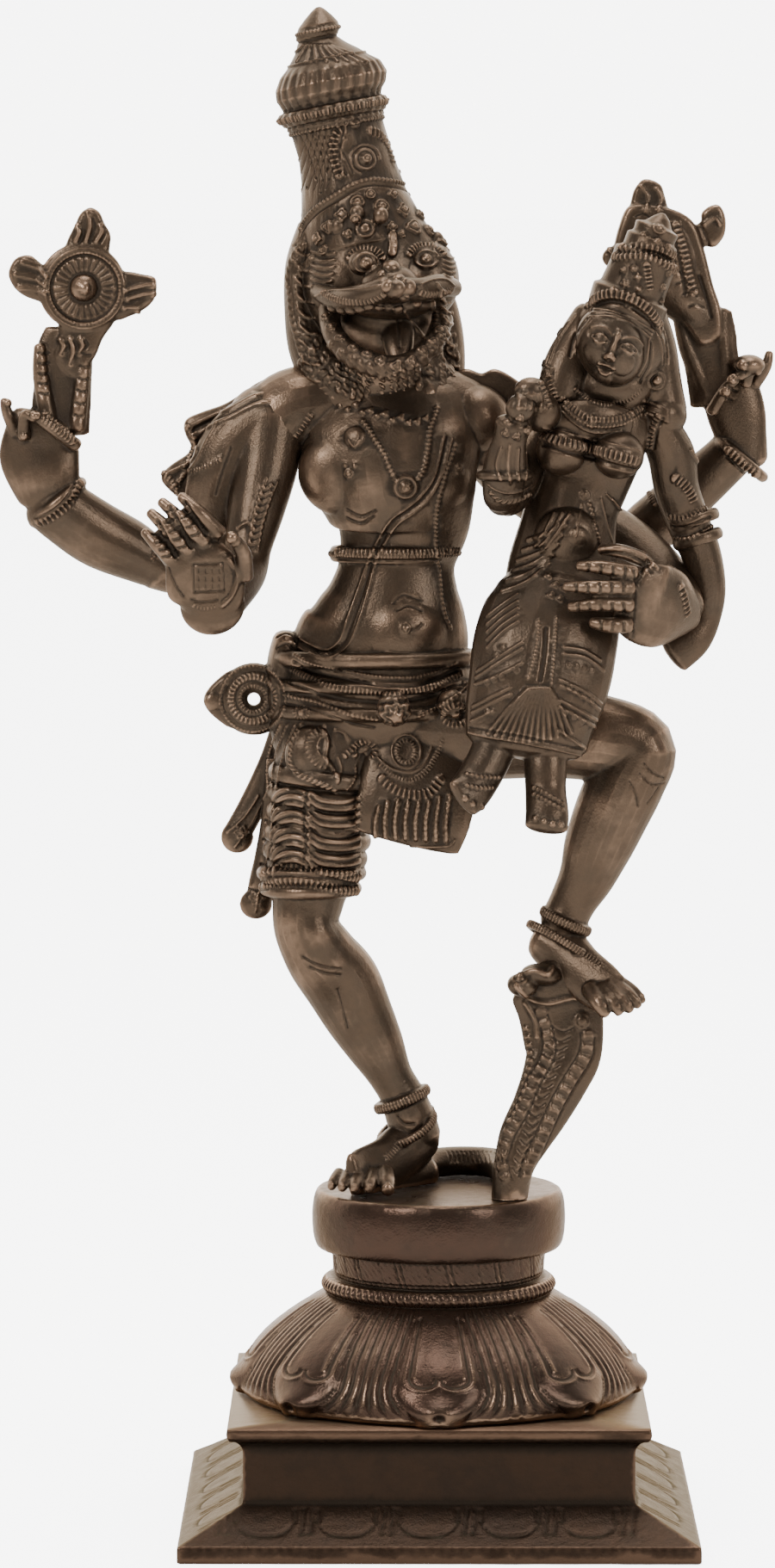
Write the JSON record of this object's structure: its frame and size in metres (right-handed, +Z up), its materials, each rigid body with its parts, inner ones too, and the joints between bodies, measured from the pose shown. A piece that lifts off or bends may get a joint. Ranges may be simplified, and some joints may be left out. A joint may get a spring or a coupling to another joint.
{
  "type": "bronze deity statue",
  "caption": "Patinated bronze temple statue: lion-faced figure on one leg with a goddess on its thigh, on a lotus pedestal and square plinth.",
  "frame": {"origin": "centre of the plinth's underside, on the surface that the statue stands on", "axes": "+Z up, -Y the way the figure faces, +X to the right as seen from the front"},
  "size_m": [0.2343, 0.146, 0.4612],
  "materials": {
    "figure_bronze": "dark brown patina, worn to copper on the high places",
    "pedestal_bronze": "dark brown patina, burnished petals",
    "plinth_bronze": "dark brown patina with dusty recesses"
  },
  "bodies": {
    "root": {"figure_group": "figure_bronze", "lotus_pedestal": "pedestal_bronze", "square_plinth": "plinth_bronze"}
  },
  "joints": []
}
